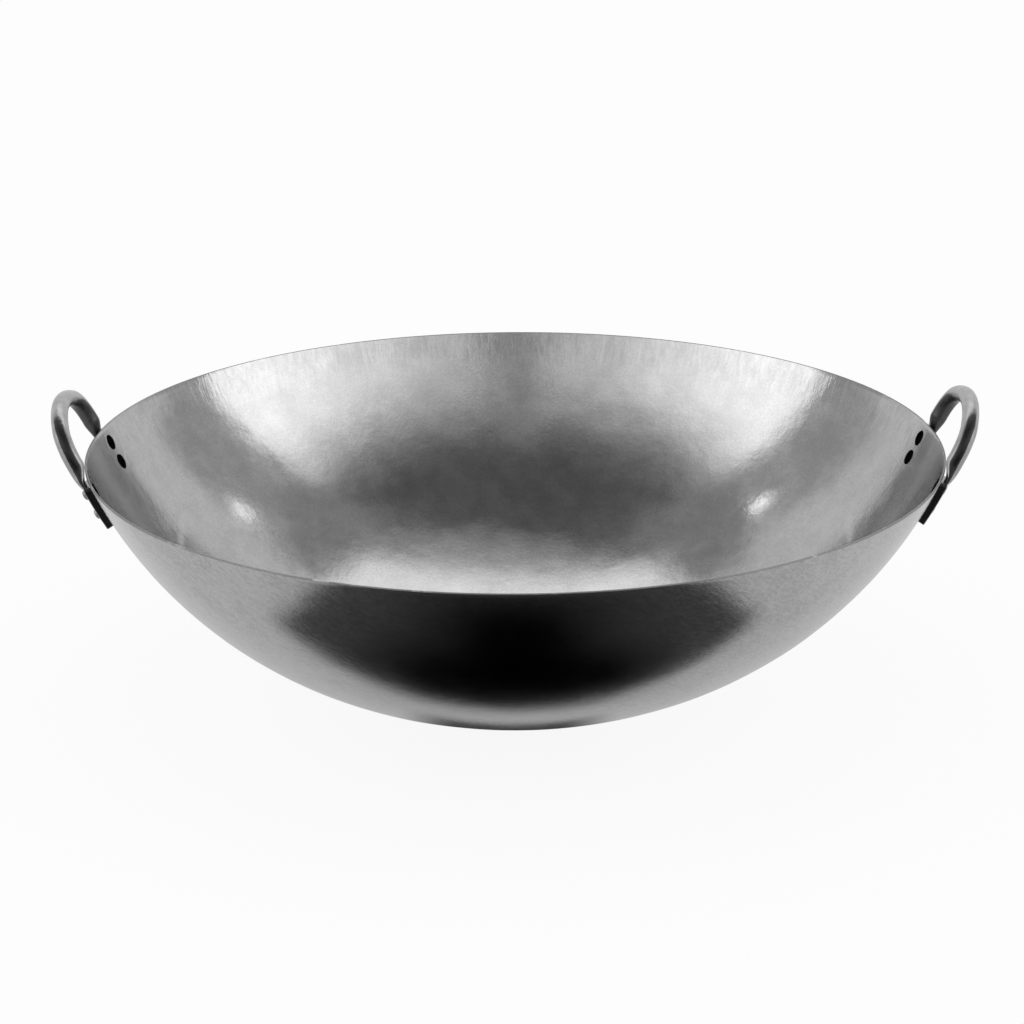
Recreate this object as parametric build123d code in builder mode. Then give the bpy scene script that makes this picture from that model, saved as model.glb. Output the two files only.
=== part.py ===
from build123d import *
from math import asin, cos, degrees, hypot, radians, sin, sqrt
import os

# Carbon steel wok: one hammered bowl, and two loop handles that rivets hold to its outside.
# Lengths are in millimetres and angles in degrees. +Z is up, the origin is the centre of the
# flat that the bowl rests on, and the handles stand out along +X (right) and -X (left).

# Bowl. Its outer meridian is a flat, then a bottom arc, then a wall arc that ends at the rim.
# The bottom arc turns by the angle given, and the wall arc goes on from there to the rim's slope.
rim_radius = 305.0
bowl_wall = 1.6
flat_radius = 49.0
bottom_arc_radius = 242.0
bottom_arc_turn = 21.4
rim_slope = 65.9
rim_rounding = 0.6

# Loop of each handle: a round rod in a sloping plane, with two legs joined by a low arch.
# Heights are measured up the slope from the rim's level.
rod_diameter = 12.0
loop_slope = 62.6
leg_spacing = 107.0
leg_stand_off = 3.0
loop_height = 39.7
arch_start = 9.0
corner_radius_share = 0.8

# Pads: the flattened ends of the rod, which lie on the outside of the wall below the rim.
pad_spacing = 113.0
pad_drop = 5.5
pad_length = 33.0
pad_width = 21.0
pad_thickness = 5.6
pad_corner_radius = 2.0
pad_edge_rounding = 0.7

# Necks: where the rod flattens and steps over the rim, down into each pad.
neck_start = 7.0
neck_width = 14.0
neck_thickness = 6.2
neck_rim_gap = 1.5
neck_drop = 1.5
neck_blend = 3.2
neck_cover = 0.3

# Rivets: a low head inside the bowl, a shank through wall and pad, a hammered tail outside.
rivet_drop = 12.0
rivet_pitch = 16.0
shank_diameter = 6.0
shank_clearance = 0.1
head_diameter = 11.6
head_height = 1.6
head_edge = 0.6
tail_diameter = 7.2
left_tail_height = 3.0
right_tail_height = 0.9
tail_crown_share = 0.35

# Gap left between faces that are hammered tight on the real wok.
seat_gap = 0.05

os.makedirs("parts", exist_ok=True)

# What follows from the sizes above.
join_radius = flat_radius + bottom_arc_radius * sin(radians(bottom_arc_turn))
join_height = bottom_arc_radius * (1 - cos(radians(bottom_arc_turn)))
wall_arc_radius = (rim_radius - join_radius) / (sin(radians(rim_slope)) - sin(radians(bottom_arc_turn)))
arc_centre_radius = join_radius - wall_arc_radius * sin(radians(bottom_arc_turn))
arc_centre_height = join_height + wall_arc_radius * cos(radians(bottom_arc_turn))
rim_height = arc_centre_height - wall_arc_radius * cos(radians(rim_slope))
inner_arc_radius = wall_arc_radius - bowl_wall

rod_radius = rod_diameter / 2
leg_half = leg_spacing / 2
arch_height = loop_height - arch_start
corner_radius = arch_height * corner_radius_share
corner_reach = leg_half - corner_radius
crown_radius = (corner_reach**2 + arch_height**2 - corner_radius**2) / (2 * (arch_height - corner_radius))
pad_turn = degrees(asin(pad_spacing / 2 / rim_radius))
head_radius = head_diameter / 2
tail_radius = tail_diameter / 2
shank_radius = shank_diameter / 2
hole_radius = shank_radius + shank_clearance


def heading(azimuth):
    """Level unit vector that points away from the bowl's axis."""
    return Vector(cos(radians(azimuth)), sin(radians(azimuth)), 0)


def sideways(azimuth):
    """Level unit vector along the rim."""
    return Vector(-sin(radians(azimuth)), cos(radians(azimuth)), 0)


def meridian(azimuth):
    """Plane through the bowl's axis, with x running outwards and y running up."""
    return Plane(origin=(0, 0, 0), x_dir=heading(azimuth), z_dir=sideways(azimuth) * -1)


def wall_slope(drop):
    """Slope of the wall at a distance below the rim, measured down along the wall."""
    return rim_slope - degrees(drop / wall_arc_radius)


def wall_point(drop, out=0):
    """Radius and height of a point beside the wall: how far down it is, and how far out of the wall."""
    slope = radians(wall_slope(drop))
    reach = wall_arc_radius + out
    return arc_centre_radius + reach * sin(slope), arc_centre_height - reach * cos(slope)


def wall_place(azimuth, drop, out=0):
    """The same point in space."""
    radius, height = wall_point(drop, out)
    return heading(azimuth) * radius + Vector(0, 0, height)


def wall_normal(azimuth, drop):
    """Unit vector that points straight out of the bowl's outside."""
    slope = radians(wall_slope(drop))
    return heading(azimuth) * sin(slope) - Vector(0, 0, cos(slope))


def rivet_plane(azimuth, drop):
    """Plane on the bowl's outside with its z axis along the rivet, pointing out."""
    return Plane(origin=wall_place(azimuth, drop), x_dir=sideways(azimuth), z_dir=wall_normal(azimuth, drop))


def neck_plane(azimuth, drop, out):
    """Plane across the neck, with x along the rim and z up the wall."""
    along = sideways(azimuth)
    upwards = wall_normal(azimuth, drop).cross(along)
    return Plane(origin=wall_place(azimuth, drop, out), x_dir=along, z_dir=upwards)


def loop_plane(azimuth):
    """Sloping plane of a handle's loop. x runs along the rim and y up the slope, from the rim's level."""
    slope = radians(loop_slope)
    out = sqrt((rim_radius + leg_stand_off) ** 2 - leg_half**2)
    origin = heading(azimuth) * out + Vector(0, 0, rim_height)
    normal = heading(azimuth) * sin(slope) - Vector(0, 0, cos(slope))
    return Plane(origin=origin, x_dir=sideways(azimuth), z_dir=normal)


def rod_plane(azimuth, side, height):
    """Plane across one leg of the loop, with x along the rim and z up the slope."""
    plane = loop_plane(azimuth)
    return Plane(origin=plane.from_local_coords((side, height, 0)), x_dir=plane.x_dir, z_dir=plane.y_dir)


handle_azimuths = {"right": 0, "left": 180}
leg_sides = {"right": {"front": -1, "back": 1}, "left": {"front": 1, "back": -1}}
rivet_drops = {"upper": rivet_drop, "lower": rivet_drop + rivet_pitch}


def pad_azimuth(hand, leg):
    return handle_azimuths[hand] + leg_sides[hand][leg] * pad_turn


# Bowl
with BuildPart() as bowl:
    inner_height = bowl_wall
    bottom_inner_radius = bottom_arc_radius - bowl_wall
    half_turn = radians(bottom_arc_turn / 2)
    mid_radius = flat_radius + bottom_arc_radius * sin(half_turn)
    mid_height = bottom_arc_radius * (1 - cos(half_turn))
    inner_mid_radius = flat_radius + bottom_inner_radius * sin(half_turn)
    inner_mid_height = bottom_arc_radius - bottom_inner_radius * cos(half_turn)
    turn = radians(bottom_arc_turn)
    inner_join = (join_radius - bowl_wall * sin(turn), join_height + bowl_wall * cos(turn))
    half_wall = wall_arc_radius * radians(rim_slope - bottom_arc_turn) / 2
    with BuildSketch(Plane.XZ):
        with BuildLine():
            Line((0, 0), (flat_radius, 0))
            ThreePointArc((flat_radius, 0), (mid_radius, mid_height), (join_radius, join_height))
            ThreePointArc((join_radius, join_height), wall_point(half_wall), wall_point(0))
            Line(wall_point(0), wall_point(0, -bowl_wall))
            ThreePointArc(wall_point(0, -bowl_wall), wall_point(half_wall, -bowl_wall), inner_join)
            ThreePointArc(inner_join, (inner_mid_radius, inner_mid_height), (flat_radius, inner_height))
            Line((flat_radius, inner_height), (0, inner_height))
            Line((0, inner_height), (0, 0))
        make_face()
    revolve(axis=Axis.Z)
    fillet(bowl.edges().filter_by(GeomType.CIRCLE).sort_by(Axis.Z)[-2:], radius=rim_rounding)
    for hand in handle_azimuths:
        for leg in leg_sides[hand]:
            for drop in rivet_drops.values():
                with BuildSketch(rivet_plane(pad_azimuth(hand, leg), drop)):
                    Circle(hole_radius)
                extrude(amount=2 * bowl_wall, both=True, mode=Mode.SUBTRACT)

bowl.part.label = "bowl"
export_step(bowl.part, "parts/bowl.step")


def pad(azimuth):
    """A flattened rod end: a slice of shell that follows the wall, with rounded corners."""
    pad_end = pad_drop + pad_length
    pad_middle = pad_drop + pad_length / 2
    back = seat_gap
    face = seat_gap + pad_thickness
    half_angle = degrees(asin(pad_width / 2 / wall_point(pad_middle, face)[0]))
    with BuildPart() as flat_end:
        with BuildSketch(meridian(azimuth - half_angle)):
            with BuildLine():
                ThreePointArc(wall_point(pad_drop, back), wall_point(pad_middle, back), wall_point(pad_end, back))
                Line(wall_point(pad_end, back), wall_point(pad_end, face))
                ThreePointArc(wall_point(pad_end, face), wall_point(pad_middle, face), wall_point(pad_drop, face))
                Line(wall_point(pad_drop, face), wall_point(pad_drop, back))
            make_face()
        revolve(axis=Axis.Z, revolution_arc=2 * half_angle)
        fillet(flat_end.edges().sort_by(SortBy.LENGTH)[:4], radius=pad_corner_radius)
        fillet(flat_end.faces().sort_by(SortBy.AREA)[-1].edges(), radius=pad_edge_rounding)
    return flat_end.part


def neck(hand, leg):
    """The joggle from the round rod to the pad. It clears the rim and sinks into the pad."""
    azimuth = pad_azimuth(hand, leg)
    side = leg_sides[hand][leg] * leg_half
    sunk_thickness = pad_thickness - 2 * neck_cover
    with BuildPart() as joggle:
        with BuildSketch(rod_plane(handle_azimuths[hand], side, arch_start)):
            Circle(rod_radius)
        with BuildSketch(rod_plane(handle_azimuths[hand], side, neck_start)):
            Circle(rod_radius)
        with BuildSketch(neck_plane(azimuth, neck_drop, neck_rim_gap + neck_thickness / 2)):
            Ellipse(neck_width / 2, neck_thickness / 2)
        with BuildSketch(neck_plane(azimuth, pad_drop + neck_blend, seat_gap + pad_thickness / 2)):
            Ellipse(neck_width / 2, sunk_thickness / 2)
        loft()
    return joggle.part


def loop(hand):
    """The round rod, swept along a three-centred arch."""
    plane = loop_plane(handle_azimuths[hand])
    crown_centre = (0, loop_height - crown_radius)
    corner_centre = (corner_reach, arch_start)
    run = (corner_centre[0] - crown_centre[0], corner_centre[1] - crown_centre[1])
    reach = crown_radius / hypot(run[0], run[1])
    meet = (crown_centre[0] + run[0] * reach, crown_centre[1] + run[1] * reach)
    with BuildPart() as rod:
        with BuildLine(plane) as path:
            RadiusArc((-leg_half, arch_start), (-meet[0], meet[1]), corner_radius)
            RadiusArc((-meet[0], meet[1]), (meet[0], meet[1]), crown_radius)
            RadiusArc((meet[0], meet[1]), (leg_half, arch_start), corner_radius)
        with BuildSketch(rod_plane(handle_azimuths[hand], -leg_half, arch_start)):
            Circle(rod_radius)
        sweep(path=path.wire())
    return rod.part


# Handles
for hand in handle_azimuths:
    loop_part = loop(hand)
    necks = [neck(hand, leg) for leg in leg_sides[hand]]
    pads = [pad(pad_azimuth(hand, leg)) for leg in leg_sides[hand]]
    with BuildPart() as handle:
        add(loop_part)
        add(necks)
        add(pads)
        for leg in leg_sides[hand]:
            for drop in rivet_drops.values():
                with BuildSketch(rivet_plane(pad_azimuth(hand, leg), drop)):
                    Circle(hole_radius)
                extrude(amount=2 * pad_thickness, both=True, mode=Mode.SUBTRACT)
    handle.part.label = f"{hand}_handle"
    export_step(handle.part, f"parts/{hand}_handle.step")

# Rivets
tail_heights = {"right": right_tail_height, "left": left_tail_height}
for hand in handle_azimuths:
    for leg in leg_sides[hand]:
        for level, drop in rivet_drops.items():
            azimuth = pad_azimuth(hand, leg)
            place = wall_place(azimuth, drop)
            normal = wall_normal(azimuth, drop)
            head_seat = -bowl_wall - seat_gap - head_radius**2 / (2 * inner_arc_radius)
            tail_seat = seat_gap + pad_thickness + seat_gap
            tail_top = tail_seat + tail_heights[hand]
            tail_shoulder = tail_top - tail_heights[hand] * tail_crown_share
            with BuildPart() as rivet:
                with BuildSketch(Plane(origin=place, x_dir=sideways(azimuth), z_dir=sideways(azimuth).cross(normal))):
                    with BuildLine():
                        TangentArc((0, head_seat - head_height), (head_radius, head_seat - head_edge), tangent=(1, 0))
                        Line((head_radius, head_seat - head_edge), (head_radius, head_seat))
                        Line((head_radius, head_seat), (shank_radius, head_seat))
                        Line((shank_radius, head_seat), (shank_radius, tail_seat))
                        Line((shank_radius, tail_seat), (tail_radius, tail_seat))
                        Line((tail_radius, tail_seat), (tail_radius, tail_shoulder))
                        TangentArc((0, tail_top), (tail_radius, tail_shoulder), tangent=(1, 0))
                        Line((0, tail_top), (0, head_seat - head_height))
                    make_face()
                revolve(axis=Axis(place, normal))
            rivet.part.label = f"{hand}_{leg}_{level}_rivet"
            export_step(rivet.part, f"parts/{hand}_{leg}_{level}_rivet.step")
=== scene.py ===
from math import asin, atan2, cos, hypot, pi, radians, sin, tan

import bpy
from mathutils import Matrix, Vector, noise


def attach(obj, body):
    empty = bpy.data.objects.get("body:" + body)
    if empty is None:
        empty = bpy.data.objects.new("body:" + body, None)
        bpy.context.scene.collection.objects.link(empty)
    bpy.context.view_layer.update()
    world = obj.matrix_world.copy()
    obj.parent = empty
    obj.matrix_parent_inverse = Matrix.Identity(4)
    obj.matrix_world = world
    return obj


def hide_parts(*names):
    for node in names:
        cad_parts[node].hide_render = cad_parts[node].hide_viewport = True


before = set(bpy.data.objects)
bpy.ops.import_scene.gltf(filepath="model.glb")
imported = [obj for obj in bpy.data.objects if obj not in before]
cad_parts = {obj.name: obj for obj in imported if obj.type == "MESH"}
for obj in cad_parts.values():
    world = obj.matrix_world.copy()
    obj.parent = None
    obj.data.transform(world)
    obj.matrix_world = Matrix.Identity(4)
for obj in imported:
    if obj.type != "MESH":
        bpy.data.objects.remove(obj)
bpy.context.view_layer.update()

# Carbon steel wok with two riveted loop handles. Lengths are in metres.

# Bowl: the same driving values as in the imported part.
RIM_RADIUS = 0.305
WALL = 0.0016
FLAT_RADIUS = 0.049
BOTTOM_ARC_RADIUS = 0.242
BOTTOM_ARC_TURN = radians(21.4)
RIM_SLOPE = radians(65.9)
RIM_ROUNDING = 0.0006

# Bowl skin: how finely it is divided round the axis and along its section.
RING_SEGMENTS = 420
FLAT_STEPS = 14
BOTTOM_STEPS = 34
WALL_STEPS = 84
RIM_STEPS = 4

# Hammer hollows: the depth and the width of each size of them.
HOLLOWS = ((0.00030, 0.060), (0.00017, 0.028), (0.00004, 0.012))

# Seats of the handles, where the hollows fade out: they lie beyond this share of the rim's radius in X, and
# reach this far to both sides in Y.
SEAT_START = 0.8
SEAT_REACH = 0.08
SEAT_FADE = 0.03

# Handles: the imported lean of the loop's plane, and about where its grip bends down, from the middle.
LOOP_SLOPE = radians(62.6)
BEND_START = 0.028
BEND_FADE = 0.003

# Rivets: their places are as packed. The heads and the left tails are hammered lower.
PAD_SPACING = 0.113
PAD_THICKNESS = 0.0056
RIVET_DROPS = {"upper": 0.012, "lower": 0.028}
HEAD_RADIUS = 0.0058
HEAD_HEIGHT = 0.0004
SHANK_RADIUS = 0.003
TAIL_RADIUS = 0.0036
TAIL_HEIGHTS = {"left": 0.0024, "right": 0.0009}
SEAT_GAP = 0.00005
RIVET_SEGMENTS = 56
RIVET_EDGE_ANGLE = radians(50)
RIVET_UNEVENNESS = 0.05
RIVET_DENT_WIDTH = 0.003

# A hammered rivet end, from its middle to its edge: shares of its radius and of its height.
RIVET_CROWN = ((0.0, 1.0), (0.30, 0.97), (0.60, 0.88), (0.84, 0.70), (0.95, 0.48), (1.0, 0.22), (1.0, 0.0))

# Noise: its values lie round this middle.
NOISE_MIDDLE = 0.5

# Sockets of a Mix node that mixes colours.
MIX_FACTOR = 0
MIX_FIRST = 6
MIX_SECOND = 7
MIX_RESULT = 2

# Short streaks on the inside: how far below the rim they begin, and where they are full.
STREAKS_BEGIN = 0.034
STREAKS_FULL = 0.008

# Studio: how finely a card is divided, the floor's half width, its grey and its shares of plain white, and
# the sky's strength for all but the camera and the metal.
CARD_STEPS = 24
FLOOR_REACH = 12.0
FLOOR_GREY = 0.86
FLOOR_WHITE_SEEN = 0.92
FLOOR_WHITE_MIRRORED = 0.55
SKY_LIGHT = 0.9

# Camera, found by fitting the rim's ellipse and the handles in the photograph.
IMAGE_SIZE = 1024
CAMERA_ELEVATION = radians(18.552)
CAMERA_ROLL = radians(-0.3)
CAMERA_DISTANCE = 2.745
RIM_CENTRE_COLUMN = 515.2
RIM_CENTRE_ROW = 449.84
FOCAL_PIXELS = 3859.3
SENSOR_WIDTH = 36.0

# What follows from the bowl's values.
join_radius = FLAT_RADIUS + BOTTOM_ARC_RADIUS * sin(BOTTOM_ARC_TURN)
join_height = BOTTOM_ARC_RADIUS * (1 - cos(BOTTOM_ARC_TURN))
wall_arc_radius = (RIM_RADIUS - join_radius) / (sin(RIM_SLOPE) - sin(BOTTOM_ARC_TURN))
arc_centre_radius = join_radius - wall_arc_radius * sin(BOTTOM_ARC_TURN)
arc_centre_height = join_height + wall_arc_radius * cos(BOTTOM_ARC_TURN)
rim_height = arc_centre_height - wall_arc_radius * cos(RIM_SLOPE)
bowl_centre = Vector((0, 0, rim_height))


# Node helpers
def new_material(name):
    """An empty node material, its node tree and its output."""
    material = bpy.data.materials.new(name)
    material.use_nodes = True
    tree = material.node_tree
    tree.nodes.clear()
    output = tree.nodes.new("ShaderNodeOutputMaterial")
    return material, tree, output


def node(tree, kind, inputs=None, **settings):
    """A node with its settings, and with its inputs set to values or linked to other nodes' sockets."""
    made = tree.nodes.new(kind)
    for key, value in settings.items():
        setattr(made, key, value)
    for key, value in (inputs or {}).items():
        if isinstance(value, bpy.types.NodeSocket):
            tree.links.new(value, made.inputs[key])
        else:
            made.inputs[key].default_value = value
    return made


def maths(tree, operation, *values, clamp=False):
    """The result of a Math node."""
    inputs = dict(enumerate(values))
    return node(tree, "ShaderNodeMath", inputs, operation=operation, use_clamp=clamp).outputs[0]


def vector_maths(tree, operation, *values):
    """The outputs of a Vector Math node."""
    return node(tree, "ShaderNodeVectorMath", dict(enumerate(values)), operation=operation).outputs


def components(tree, vector):
    """The outputs X, Y and Z for a vector."""
    return node(tree, "ShaderNodeSeparateXYZ", {"Vector": vector}).outputs


def object_place(tree):
    """Where a point of a piece is, in metres from the piece's origin."""
    return node(tree, "ShaderNodeTexCoord").outputs["Object"]


def ramp(tree, value, start_at, end_at, start=0.0, end=1.0, smooth=True):
    """start where the value is start_at, end where it is end_at, and a soft or straight way between."""
    inputs = {"Value": value, "From Min": start_at, "From Max": end_at, "To Min": start, "To Max": end}
    kind = "SMOOTHSTEP" if smooth else "LINEAR"
    return node(tree, "ShaderNodeMapRange", inputs, interpolation_type=kind).outputs["Result"]


def noise_value(tree, vector, scale, detail=3.0, roughness=0.5, distortion=0.0):
    """Noise over the coordinates. scale is how many of its coarse features fit in one unit of them."""
    inputs = {"Vector": vector, "Scale": scale, "Detail": detail, "Roughness": roughness,
              "Distortion": distortion}
    return node(tree, "ShaderNodeTexNoise", inputs).outputs["Fac"]


def colour_mix(tree, factor, first, second):
    """The first colour where factor is 0, and the second where it is 1."""
    inputs = {MIX_FACTOR: factor, MIX_FIRST: first, MIX_SECOND: second}
    return node(tree, "ShaderNodeMix", inputs, data_type="RGBA").outputs[MIX_RESULT]


def grey_mix(tree, factor, dark, pale):
    """A grey that goes from dark to pale with factor."""
    return colour_mix(tree, factor, (dark, dark, dark, 1), (pale, pale, pale, 1))


def total(tree, *parts):
    """The sum of (noise, amount) pairs, where each noise counts from its middle."""
    result = None
    for value, amount in parts:
        part = maths(tree, "MULTIPLY", maths(tree, "SUBTRACT", value, NOISE_MIDDLE), amount)
        result = part if result is None else maths(tree, "ADD", result, part)
    return result


def varied(tree, middle, *parts):
    """A middle value, to which the (noise, amount) pairs add."""
    return maths(tree, "ADD", total(tree, *parts), middle)


def stacked(tree, first, first_height, second, second_height):
    """The height of two noises, one on the other."""
    return maths(tree, "ADD", maths(tree, "MULTIPLY", first, first_height),
                 maths(tree, "MULTIPLY", second, second_height))


def turned_coordinates(tree, round_rate, wall_rate, twist=0.0):
    """Coordinates that run round the bowl's axis at one rate and along its wall at another, with no seam.

    A twist turns the lines between them into slanting ones.
    """
    place = components(tree, object_place(tree))
    level = node(tree, "ShaderNodeCombineXYZ", {"X": place["X"], "Y": place["Y"]}).outputs[0]
    reach = vector_maths(tree, "LENGTH", level)["Value"]
    run = maths(tree, "ADD", place["Z"], reach)
    turn = {"Vector": level, "Angle": maths(tree, "MULTIPLY", run, twist)}
    turned = node(tree, "ShaderNodeVectorRotate", turn, rotation_type="Z_AXIS").outputs[0]
    heading = vector_maths(tree, "NORMALIZE", turned)[0]
    spread = node(tree, "ShaderNodeVectorMath", {0: heading, "Scale": round_rate}, operation="SCALE")
    lifted = node(tree, "ShaderNodeCombineXYZ", {"Z": maths(tree, "MULTIPLY", run, wall_rate)})
    return vector_maths(tree, "ADD", spread.outputs[0], lifted.outputs[0])[0]


def finish_metal(tree, output, colour, rough, relief, edge_tint=1.0):
    """Puts a metal shader on the output. relief is the height of its unevenness in metres.

    A low edge tint keeps the metal dark where it is seen at a grazing angle.
    """
    bump = node(tree, "ShaderNodeBump", {"Height": relief, "Strength": 1.0, "Distance": 1.0})
    inputs = {"Base Color": colour, "Metallic": 1.0, "Roughness": rough, "Normal": bump.outputs[0],
              "Specular Tint": (edge_tint, edge_tint, edge_tint, 1)}
    shader = node(tree, "ShaderNodeBsdfPrincipled", inputs)
    tree.links.new(shader.outputs[0], output.inputs["Surface"])


# Materials. Amounts of relief are in metres.
def inside_material():
    """Bright hammered steel: streaks below the rim, and clouds, mottling, scuffs and grain everywhere."""
    material, tree, output = new_material("inside_steel")
    place = object_place(tree)
    height = components(tree, place)["Z"]
    near_rim = ramp(tree, height, start_at=rim_height - STREAKS_BEGIN, end_at=rim_height - STREAKS_FULL)
    along_rings = turned_coordinates(tree, round_rate=14.0, wall_rate=200.0)
    across_rings = turned_coordinates(tree, round_rate=52.0, wall_rate=34.0)

    cloud = noise_value(tree, place, scale=9.0, detail=3.0, roughness=0.55)
    mottle = noise_value(tree, place, scale=42.0, detail=5.0, roughness=0.66)
    scuff = noise_value(tree, along_rings, scale=1.0, detail=4.0, roughness=0.6, distortion=0.8)
    streak = noise_value(tree, across_rings, scale=1.0, detail=3.0, roughness=0.6, distortion=1.0)
    grain = noise_value(tree, place, scale=700.0, detail=2.0)
    streak_at_rim = varied(tree, NOISE_MIDDLE, (streak, near_rim))

    tone = varied(tree, 0.5, (cloud, 0.6), (mottle, 0.8), (scuff, 0.15), (streak_at_rim, 0.8), (grain, 0.5))
    colour = grey_mix(tree, ramp(tree, tone, start_at=0.2, end_at=0.8), dark=0.335, pale=0.445)
    rough = varied(tree, 0.155, (mottle, 0.12), (scuff, 0.03), (cloud, 0.05))
    relief = total(tree, (streak_at_rim, 0.00012), (mottle, 0.00019), (scuff, 0.000003), (grain, 0.000009))
    finish_metal(tree, output, colour, rough, relief)
    return material


def outside_material():
    """The same steel with a duller skin, ground in slanting strokes."""
    material, tree, output = new_material("outside_steel")
    place = object_place(tree)
    slanting = turned_coordinates(tree, round_rate=80.0, wall_rate=150.0, twist=3.2)
    cloud = noise_value(tree, place, scale=8.0, detail=3.0, roughness=0.55)
    mottle = noise_value(tree, place, scale=40.0, detail=4.0, roughness=0.6)
    strokes = noise_value(tree, slanting, scale=1.0, detail=3.0, roughness=0.62, distortion=0.8)
    grain = noise_value(tree, place, scale=420.0, detail=3.0, roughness=0.6)

    tone = varied(tree, 0.5, (cloud, 0.5), (mottle, 0.5), (strokes, 1.0), (grain, 0.9))
    colour = grey_mix(tree, ramp(tree, tone, start_at=0.2, end_at=0.8), dark=0.315, pale=0.435)
    rough = varied(tree, 0.22, (mottle, 0.08), (strokes, 0.08), (grain, 0.05))
    relief = total(tree, (mottle, 0.00011), (strokes, 0.000065), (grain, 0.000052))
    finish_metal(tree, output, colour, rough, relief)
    return material


def handle_material():
    """Forged steel, ground satin on its broad faces, with painted dark reflections on those that look along
    the rim.
    """
    material, tree, output = new_material("forged_steel")
    coordinates = node(tree, "ShaderNodeTexCoord").outputs
    place = coordinates["Object"]
    at = components(tree, place)
    facing = components(tree, coordinates["Normal"])
    patches = noise_value(tree, place, scale=110.0, detail=4.0, roughness=0.6)
    pits = noise_value(tree, place, scale=620.0, detail=3.0, roughness=0.6)
    lumps = noise_value(tree, place, scale=45.0, detail=2.0)
    wander = total(tree, (patches, 0.16))

    # How much a face looks away from the handle's middle, along the rim.
    aside = maths(tree, "MULTIPLY", facing["Y"], maths(tree, "SIGN", at["Y"]))
    aside = maths(tree, "ADD", aside, wander)

    # How much a face looks out of the loop's plane, away from the bowl.
    away = maths(tree, "MULTIPLY", facing["X"], maths(tree, "SIGN", at["X"]))
    downward = maths(tree, "MULTIPLY", facing["Z"], cos(LOOP_SLOPE))
    across = maths(tree, "SUBTRACT", maths(tree, "MULTIPLY", away, sin(LOOP_SLOPE)), downward)

    # Where the painted dark reflections are: dull grey between the legs, and black on the narrow faces
    # beside them.
    outer_limit = ramp(tree, maths(tree, "ADD", across, wander), start_at=0.36, end_at=0.22)
    edge_on = maths(tree, "MULTIPLY", outer_limit, ramp(tree, across, start_at=-0.85, end_at=-0.62))
    from_middle = maths(tree, "ABSOLUTE", at["Y"])
    past_bend = ramp(tree, from_middle, start_at=BEND_START, end_at=BEND_START + BEND_FADE)
    between = maths(tree, "MULTIPLY", ramp(tree, aside, start_at=-0.12, end_at=-0.24), past_bend)
    beside = maths(tree, "MULTIPLY", ramp(tree, aside, start_at=0.24, end_at=0.36), edge_on)
    painted_reflection_mask = maths(tree, "ADD", between, beside, clamp=True)

    # The satin steel, and the dull and black colours of the painted dark reflections.
    ground = grey_mix(tree, ramp(tree, patches, start_at=0.3, end_at=0.7), dark=0.29, pale=0.37)
    dull = grey_mix(tree, pits, dark=0.06, pale=0.10)
    black = grey_mix(tree, pits, dark=0.025, pale=0.05)
    colour = colour_mix(tree, beside, colour_mix(tree, between, ground, dull), black)
    satin = ramp(tree, pits, start_at=0.3, end_at=0.7, start=0.27, end=0.37)
    rough = maths(tree, "ADD", satin, maths(tree, "MULTIPLY", painted_reflection_mask, 0.12))
    relief = stacked(tree, lumps, 0.00006, pits, 0.000016)
    finish_metal(tree, output, colour, rough, relief)
    return material


def rivet_material(name, dark, pale, edge_tint=1.0):
    """Hammered rivet steel."""
    material, tree, output = new_material(name)
    place = object_place(tree)
    dents = noise_value(tree, place, scale=260.0, detail=2.0)
    pits = noise_value(tree, place, scale=900.0, detail=3.0, roughness=0.6)
    colour = grey_mix(tree, ramp(tree, dents, start_at=0.3, end_at=0.7), dark, pale)
    rough = ramp(tree, pits, start_at=0.3, end_at=0.7, start=0.34, end=0.5)
    relief = stacked(tree, dents, 0.0002, pits, 0.00001)
    finish_metal(tree, output, colour, rough, relief, edge_tint)
    return material


def rim_material():
    """The cut edge of the sheet: dull and darker than both faces, with a few bright nicks."""
    material, tree, output = new_material("rim_steel")
    place = object_place(tree)
    nicks = noise_value(tree, place, scale=55.0, detail=3.0, roughness=0.6)
    grain = noise_value(tree, place, scale=500.0, detail=3.0, roughness=0.6)
    colour = grey_mix(tree, ramp(tree, nicks, start_at=0.60, end_at=0.70), dark=0.23, pale=0.40)
    rough = ramp(tree, grain, start_at=0.3, end_at=0.7, start=0.36, end=0.48)
    relief = total(tree, (nicks, 0.0001), (grain, 0.00001))
    finish_metal(tree, output, colour, rough, relief)
    return material


# Mesh helpers
def add_mesh(name, vertices, faces, materials):
    """A mesh object in the scene, with its materials."""
    mesh = bpy.data.meshes.new(name)
    mesh.from_pydata(vertices, [], faces)
    for material in materials:
        mesh.materials.append(material)
    piece = bpy.data.objects.new(name, mesh)
    bpy.context.scene.collection.objects.link(piece)
    return piece


def ringed_faces(rings, segments):
    """Faces between rings of vertices, and fans that close the ends at the first and the last vertex."""
    last = rings * segments + 1
    faces = []
    for step in range(segments):
        faces.append((0, 1 + (step + 1) % segments, 1 + step))
    for ring in range(rings - 1):
        low = 1 + ring * segments
        high = low + segments
        for step in range(segments):
            ahead = (step + 1) % segments
            faces.append((low + step, low + ahead, high + ahead, high + step))
    low = last - segments
    for step in range(segments):
        faces.append((last, low + step, low + (step + 1) % segments))
    return faces


# Bowl
def bottom_point(turn, depth):
    """Radius and height on the bottom's arc at a slope, a depth below the outside."""
    arc = BOTTOM_ARC_RADIUS - depth
    return FLAT_RADIUS + arc * sin(turn), BOTTOM_ARC_RADIUS - arc * cos(turn)


def wall_point(turn, depth):
    """Radius and height on the wall's arc at a slope, a depth below the outside."""
    arc = wall_arc_radius - depth
    return arc_centre_radius + arc * sin(turn), arc_centre_height - arc * cos(turn)


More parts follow.
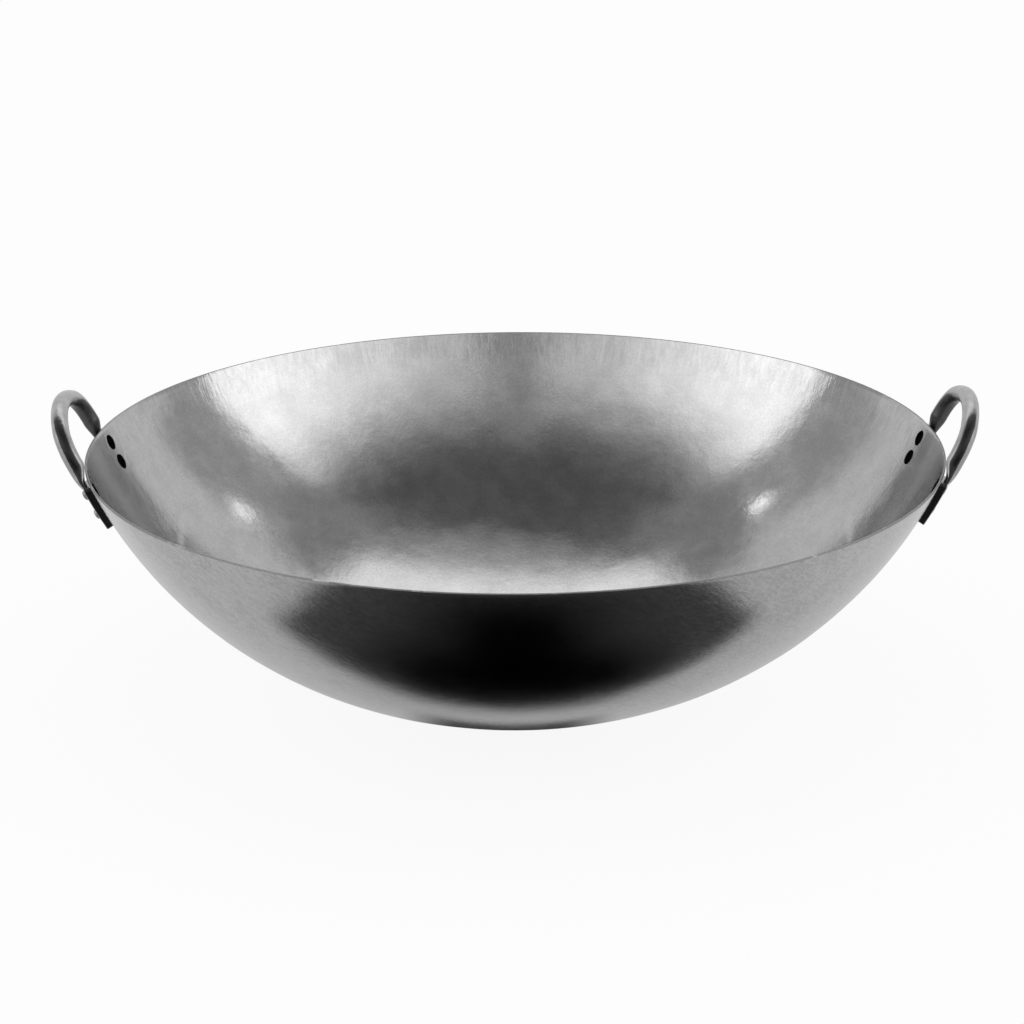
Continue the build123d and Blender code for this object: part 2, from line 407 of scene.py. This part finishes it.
def meridian():
    """Points of the closed wall section, each a (radius, height).

    They run from the centre of the outside, over the rounded rim, to the centre of the inside.
    """
    top_turn = RIM_SLOPE - RIM_ROUNDING / wall_arc_radius
    points = [(FLAT_RADIUS * step / FLAT_STEPS, 0.0) for step in range(FLAT_STEPS)]
    for step in range(BOTTOM_STEPS):
        points.append(bottom_point(BOTTOM_ARC_TURN * step / BOTTOM_STEPS, 0.0))
    for step in range(WALL_STEPS + 1):
        turn = BOTTOM_ARC_TURN + (top_turn - BOTTOM_ARC_TURN) * step / WALL_STEPS
        points.append(wall_point(turn, 0.0))

    along = Vector((cos(top_turn), sin(top_turn)))
    out = Vector((sin(top_turn), -cos(top_turn)))
    outer_foot = Vector(points[-1])
    for side, depth in enumerate((RIM_ROUNDING, WALL - RIM_ROUNDING)):
        centre = outer_foot - out * depth
        for step in range(1, RIM_STEPS + 1):
            angle = (side + step / RIM_STEPS) * pi / 2
            spot = centre + (out * cos(angle) + along * sin(angle)) * RIM_ROUNDING
            points.append((spot.x, spot.y))

    for step in range(1, WALL_STEPS + 1):
        turn = top_turn + (BOTTOM_ARC_TURN - top_turn) * step / WALL_STEPS
        points.append(wall_point(turn, WALL))
    for step in range(1, BOTTOM_STEPS + 1):
        points.append(bottom_point(BOTTOM_ARC_TURN * (1 - step / BOTTOM_STEPS), WALL))
    for step in range(1, FLAT_STEPS + 1):
        points.append((FLAT_RADIUS * (1 - step / FLAT_STEPS), WALL))
    return points


def wall_turn(radius):
    """The wall's slope at a distance from the axis, as if it grew evenly with it on each arc."""
    if radius <= FLAT_RADIUS:
        return 0.0
    if radius <= join_radius:
        return BOTTOM_ARC_TURN * (radius - FLAT_RADIUS) / (join_radius - FLAT_RADIUS)
    share = min(1.0, (radius - join_radius) / (RIM_RADIUS - join_radius))
    return BOTTOM_ARC_TURN + (RIM_SLOPE - BOTTOM_ARC_TURN) * share


def into_bowl(place):
    """Direction from a place of the skin into the bowl."""
    turn = wall_turn(hypot(place.x, place.y))
    angle = atan2(place.y, place.x)
    return Vector((-sin(turn) * cos(angle), -sin(turn) * sin(angle), cos(turn)))


def hollow_depth(place):
    """How far the skin sinks into the bowl at a place, both faces alike, and not at the handles' seats."""
    depth = 0.0
    for amount, width in HOLLOWS:
        depth += amount * (0.5 + 0.5 * noise.noise(place / width))
    if abs(place.x) < RIM_RADIUS * SEAT_START:
        return depth
    return depth * max(0.0, min(1.0, (abs(place.y) - SEAT_REACH) / SEAT_FADE))


def make_bowl():
    """The bowl's hammered skin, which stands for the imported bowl."""
    points = meridian()
    rings = points[1:-1]
    vertices = [Vector((0, 0, points[0][1]))]
    for radius, height in rings:
        for step in range(RING_SEGMENTS):
            angle = 2 * pi * step / RING_SEGMENTS
            vertices.append(Vector((radius * cos(angle), radius * sin(angle), height)))
    vertices.append(Vector((0, 0, points[-1][1])))
    for vertex in vertices:
        vertex += into_bowl(vertex) * hollow_depth(vertex)

    materials = (outside_material(), inside_material(), rim_material())
    inside_slot = 1
    rim_slot = 2
    faces = ringed_faces(len(rings), RING_SEGMENTS)
    piece = add_mesh("bowl_skin", vertices, faces, materials)
    piece.data.shade_smooth()
    rim_band = FLAT_STEPS + BOTTOM_STEPS + WALL_STEPS
    inner_band = rim_band + 2 * RIM_STEPS
    for face in piece.data.polygons:
        band = face.index // RING_SEGMENTS
        if band >= inner_band:
            face.material_index = inside_slot
        elif band >= rim_band:
            face.material_index = rim_slot
    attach(piece, "root")
    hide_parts("bowl")


# Handles and rivets
def dress(name, material):
    """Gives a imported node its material."""
    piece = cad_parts[name]
    if not piece.material_slots:
        piece.data.materials.append(material)
    for slot in piece.material_slots:
        slot.material = material


def wall_frame(azimuth, drop):
    """A place on the outside, a distance down from the rim, with its level and outward directions."""
    slope = RIM_SLOPE - drop / wall_arc_radius
    radius, height = wall_point(slope, 0.0)
    heading = Vector((cos(azimuth), sin(azimuth), 0))
    along = Vector((-sin(azimuth), cos(azimuth), 0))
    out = heading * sin(slope) - Vector((0, 0, cos(slope)))
    return heading * radius + Vector((0, 0, height)), along, out


def rivet_section(tail_height):
    """Half section of a rivet, from its head to its tail, as (radius, distance out of the wall)."""
    wall_sag = HEAD_RADIUS ** 2 / (2 * (wall_arc_radius - WALL))
    head_seat = -(WALL + SEAT_GAP + wall_sag)
    tail_seat = PAD_THICKNESS + 2 * SEAT_GAP
    head = [(HEAD_RADIUS * reach, head_seat - HEAD_HEIGHT * rise) for reach, rise in RIVET_CROWN]
    shank = [(SHANK_RADIUS, head_seat), (SHANK_RADIUS, tail_seat)]
    tail = [(TAIL_RADIUS * reach, tail_seat + tail_height * rise) for reach, rise in RIVET_CROWN]
    return head + shank + tail[::-1]


def make_rivet(name, hand, leg, level, materials):
    """A rivet with a hammered head and tail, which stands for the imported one."""
    turn = asin(PAD_SPACING / 2 / RIM_RADIUS) * (1 if leg == "back" else -1)
    azimuth = turn if hand == "right" else pi - turn
    place, along, out = wall_frame(azimuth, RIVET_DROPS[level])
    upward = out.cross(along)
    section = rivet_section(TAIL_HEIGHTS[hand])
    rings = section[1:-1]
    vertices = [place + out * section[0][1]]
    for radius, rise in rings:
        centre = place + out * rise
        for step in range(RIVET_SEGMENTS):
            angle = 2 * pi * step / RIVET_SEGMENTS
            reach = (along * cos(angle) + upward * sin(angle)) * radius
            uneven = 1 + RIVET_UNEVENNESS * noise.noise((centre + reach) / RIVET_DENT_WIDTH)
            vertices.append(centre + reach * uneven)
    vertices.append(place + out * section[-1][1])

    faces = ringed_faces(len(rings), RIVET_SEGMENTS)
    piece = add_mesh(name + "_hammered", vertices, faces, materials)
    piece.data.shade_smooth()
    piece.data.set_sharp_from_angle(angle=RIVET_EDGE_ANGLE)
    for face in piece.data.polygons:
        face.material_index = 0 if (face.center - place).dot(out) < 0 else 1
    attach(piece, "root")
    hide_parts(name)


# Studio
def around(azimuth, elevation, distance):
    """A place seen from the bowl. Azimuth 0 is towards the camera, and 90 to the right."""
    turn = radians(azimuth)
    rise = radians(elevation)
    return bowl_centre + distance * Vector((sin(turn) * cos(rise), -cos(turn) * cos(rise), sin(rise)))


def card_material(name, strength, edges, round_share):
    """A card of even brightness that fades out at its edges.

    The edges are shares of its width at the left and right, and of its height below and above. A round
    share makes the card an ellipse instead, which fades out from that share of its radius.
    """
    material, tree, output = new_material(name)
    place = node(tree, "ShaderNodeTexCoord").outputs["UV"]
    if round_share is None:
        left, right, below, above = edges
        fades = (("X", 0.0, left), ("X", 1.0, 1.0 - right), ("Y", 0.0, below), ("Y", 1.0, 1.0 - above))
        at = components(tree, place)
        mask = 1.0
        for axis, clear_at, full_at in fades:
            if clear_at != full_at:
                mask = maths(tree, "MULTIPLY", ramp(tree, at[axis], clear_at, full_at), mask)
    else:
        from_middle = vector_maths(tree, "DISTANCE", place, (0.5, 0.5, 0))["Value"]
        mask = ramp(tree, from_middle, start_at=0.5, end_at=0.5 * round_share)
    clear = node(tree, "ShaderNodeBsdfTransparent").outputs[0]
    glow = node(tree, "ShaderNodeEmission", {"Color": (1, 1, 1, 1), "Strength": strength}).outputs[0]
    mix = node(tree, "ShaderNodeMixShader", {0: mask, 1: clear, 2: glow})
    tree.links.new(mix.outputs[0], output.inputs["Surface"])
    return material


def card(name, corner, strength, edges, round_share=None):
    """A flag or diffuser that only the metal's reflections show. corner(u, v) gives its points."""
    row_length = CARD_STEPS + 1
    vertices = []
    for row in range(row_length):
        for column in range(row_length):
            vertices.append(corner(column / CARD_STEPS, row / CARD_STEPS))
    faces = []
    for row in range(CARD_STEPS):
        for column in range(CARD_STEPS):
            first = row * row_length + column
            faces.append((first, first + 1, first + row_length + 1, first + row_length))
    obj = add_mesh(name, vertices, faces, [card_material(name, strength, edges, round_share)])
    mesh = obj.data
    shares = mesh.uv_layers.new(name="place")
    for loop in mesh.loops:
        row, column = divmod(loop.vertex_index, row_length)
        shares.data[loop.index].uv = (column / CARD_STEPS, row / CARD_STEPS)
    obj.visible_camera = False
    obj.visible_diffuse = False
    obj.visible_shadow = False
    obj.visible_transmission = False


def sky_card(name, azimuths, elevations, distance, strength, edges, lean=0.0):
    """A curved card round the bowl, between two azimuths and two elevations. A lean tips its top back."""
    tip = Matrix.Rotation(radians(-lean), 3, "X")

    def corner(u, v):
        azimuth = azimuths[0] + (azimuths[1] - azimuths[0]) * u
        elevation = elevations[0] + (elevations[1] - elevations[0]) * v
        return bowl_centre + tip @ (around(azimuth, elevation, distance) - bowl_centre)
    card(name, corner, strength, edges)


def side_cards(name, azimuths, elevations, distance, strength, edges):
    """The same card on the right and, mirrored, on the left. Its first azimuth is the camera's side."""
    sky_card(name + "_right", azimuths, elevations, distance, strength, edges)
    sky_card(name + "_left", (-azimuths[0], -azimuths[1]), elevations, distance, strength, edges)


def facing_card(name, place, wide, high, strength, edges=None, round_share=None):
    """A flat card that faces the bowl from a place (azimuth, elevation, distance).

    wide and high are the angles that it takes up.
    """
    azimuth, elevation, distance = place
    middle = around(azimuth, elevation, distance)
    across = Vector((cos(radians(azimuth)), sin(radians(azimuth)), 0))
    above = (middle - bowl_centre).normalized().cross(across)
    if above.z < 0:
        above.negate()
    half_wide = distance * tan(radians(wide / 2))
    half_high = distance * tan(radians(high / 2))

    def corner(u, v):
        return middle + across * half_wide * (2 * u - 1) + above * half_high * (2 * v - 1)
    card(name, corner, strength, edges, round_share)


def floor_card(name, centre, size, lift, strength, edges):
    """A dark place of the floor, a little above it. The edges are left, right, front and back."""
    def corner(u, v):
        return Vector((centre[0] + size[0] * (u - 0.5), centre[1] + size[1] * (v - 0.5), lift))
    card(name, corner, strength, edges)


def floor_sector(name, start, length, half_angle, lift, strength, edges):
    """A dark sector of the floor that widens towards the camera, from a distance to the bowl's axis."""
    def corner(u, v):
        reach = start + length * v
        angle = radians(half_angle * (2 * u - 1))
        return Vector((reach * sin(angle), -reach * cos(angle), lift))
    card(name, corner, strength, edges)


def studio_share(tree, seen_share, mirrored_share):
    """How much of the studio's white a ray sees: a share for the camera, one in metal and glass, or none."""
    rays = node(tree, "ShaderNodeLightPath").outputs
    mirrored = maths(tree, "ADD", rays["Is Glossy Ray"], rays["Is Transmission Ray"], clamp=True)
    seen = maths(tree, "MULTIPLY", rays["Is Camera Ray"], seen_share)
    return maths(tree, "ADD", seen, maths(tree, "MULTIPLY", mirrored, mirrored_share), clamp=True)


def make_floor():
    """A floor that is nearly white to the camera and half white in the metal. The rest is real shading."""
    material, tree, output = new_material("floor_white")
    paint = (FLOOR_GREY, FLOOR_GREY, FLOOR_GREY, 1)
    plain = node(tree, "ShaderNodeBsdfDiffuse", {"Color": paint}).outputs[0]
    glow = node(tree, "ShaderNodeEmission", {"Color": (1, 1, 1, 1), "Strength": 1.0}).outputs[0]
    share = studio_share(tree, FLOOR_WHITE_SEEN, FLOOR_WHITE_MIRRORED)
    mix = node(tree, "ShaderNodeMixShader", {0: share, 1: plain, 2: glow})
    tree.links.new(mix.outputs[0], output.inputs["Surface"])
    corners = [(-1, -1), (1, -1), (1, 1), (-1, 1)]
    vertices = [(x * FLOOR_REACH, y * FLOOR_REACH, 0) for x, y in corners]
    floor = add_mesh("floor", vertices, [(0, 1, 2, 3)], [material])


def make_world():
    """White for the camera and in the metal, and a plain light of nearly the same strength for the rest."""
    world = bpy.data.worlds.new("studio")
    bpy.context.scene.world = world
    world.use_nodes = True
    world.cycles.sampling_method = "NONE"
    tree = world.node_tree
    tree.nodes.clear()
    share = studio_share(tree, 1.0, 1.0)
    strength = ramp(tree, share, start_at=0.0, end_at=1.0, start=SKY_LIGHT, end=1.0, smooth=False)
    sky = node(tree, "ShaderNodeBackground", {"Color": (1, 1, 1, 1), "Strength": strength})
    output = tree.nodes.new("ShaderNodeOutputWorld")
    tree.links.new(sky.outputs[0], output.inputs["Surface"])


def make_softboxes():
    """The softboxes, flags and lamps round the bowl, and the dark room behind the camera.

    Angles are in degrees, and distances in metres.
    """
    side_cards("softbox", azimuths=(12, 100), elevations=(10, 62), distance=9.5, strength=2.3,
               edges=(0.83, 0.02, 0.16, 0.5))
    sky_card("ceiling_flag", azimuths=(-180, 180), elevations=(36, 90), distance=9.0, strength=0.155,
             edges=(0, 0, 0.52, 0), lean=6)
    sky_card("front_flag", azimuths=(-17, 17), elevations=(24, 72), distance=8.8, strength=0.5,
             edges=(0.45, 0.45, 0.1, 0.3))
    side_cards("high_flag", azimuths=(98, 152), elevations=(37, 76), distance=8.6, strength=0.40,
               edges=(0.1, 0.25, 0.2, 0.5))
    side_cards("side_flag", azimuths=(100, 130), elevations=(11, 50), distance=8.4, strength=0.6,
               edges=(0.03, 0.2, 0.14, 0.3))
    facing_card("rear_glow", place=(168, 63, 8.3), wide=74, high=57, strength=0.9, round_share=0.0)
    facing_card("rear_softbox", place=(177, 55, 7.0), wide=53, high=38, strength=1.74,
                edges=(0.14, 0.14, 0, 0.37))
    facing_card("small_lamp_right", place=(126, 34, 8.0), wide=3.8, high=5, strength=4.4,
                round_share=0.5)
    facing_card("small_lamp_left", place=(-119, 40.5, 8.0), wide=4.4, high=5.6, strength=4.8,
                round_share=0.5)
    sky_card("dark_room", azimuths=(-40, 40), elevations=(-4, 20), distance=8.0, strength=0.03,
             edges=(0.15, 0.15, 0, 0.3))


def make_table():
    """The dark places of the floor in front of the bowl, and a painted shadow under it, in metres and
    degrees.
    """
    floor_sector("front_floor", start=0.43, length=7.5, half_angle=48, lift=0.002, strength=0.03,
                 edges=(0.15, 0.15, 0.01, 0))
    floor_card("table_gap", centre=(0.0, -0.392), size=(0.51, 0.456), lift=0.001, strength=0.085,
               edges=(0.08, 0.07, 0.07, 0.05))
    floor_card("table_gap_core", centre=(0, -0.32), size=(0.38, 0.276), lift=0.0015, strength=0.0,
               edges=(0.45, 0.45, 0.5, 0.06))
    floor_card("table_gap_low", centre=(0, -0.236), size=(0.37, 0.108), lift=0.0018, strength=0.0,
               edges=(0.34, 0.34, 0.6, 0.1))
    # A painted contact shadow: a dark card under the bowl's edge, which the metal reflects where the floor
    # lies in the bowl's shadow.
    floor_card("contact_shade", centre=(-0.006, -0.097), size=(0.172, 0.098), lift=0.0015, strength=0.07,
               edges=(0.30, 0.30, 0.10, 0.1))


def make_camera():
    """The photograph's view: its distance, tilt and roll, aimed by where the rim's centre falls in it."""
    data = bpy.data.cameras.new("camera")
    data.sensor_width = SENSOR_WIDTH
    data.lens = FOCAL_PIXELS / IMAGE_SIZE * SENSOR_WIDTH
    obj = bpy.data.objects.new("camera", data)
    bpy.context.scene.collection.objects.link(obj)
    ahead = Vector((0, cos(CAMERA_ELEVATION), -sin(CAMERA_ELEVATION)))
    level = Vector((1, 0, 0))
    above = Vector((0, sin(CAMERA_ELEVATION), cos(CAMERA_ELEVATION)))
    right = cos(CAMERA_ROLL) * level + sin(CAMERA_ROLL) * above
    up = cos(CAMERA_ROLL) * above - sin(CAMERA_ROLL) * level
    across = (RIM_CENTRE_COLUMN - IMAGE_SIZE / 2) / FOCAL_PIXELS * CAMERA_DISTANCE
    raised = (IMAGE_SIZE / 2 - RIM_CENTRE_ROW) / FOCAL_PIXELS * CAMERA_DISTANCE
    place = bowl_centre - across * right - raised * up - CAMERA_DISTANCE * ahead
    obj.matrix_world = Matrix.Translation(place) @ Matrix((right, up, -ahead)).transposed().to_4x4()
    bpy.context.scene.camera = obj


make_bowl()
handle_steel = handle_material()
# The rivet heads are near-black, and their low edge tint keeps them dark at grazing angles.
head_steel = rivet_material("rivet_head_steel", dark=0.006, pale=0.016, edge_tint=0.05)
tail_steel = rivet_material("rivet_tail_steel", dark=0.22, pale=0.32)
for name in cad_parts:
    if name.endswith("_handle"):
        dress(name, handle_steel)
    elif name.endswith("_rivet"):
        hand, leg, level, _ = name.split("_")
        make_rivet(name, hand, leg, level, (head_steel, tail_steel))
make_floor()
make_world()
make_softboxes()
make_table()
make_camera()
bpy.context.scene.view_settings.view_transform = "Standard"
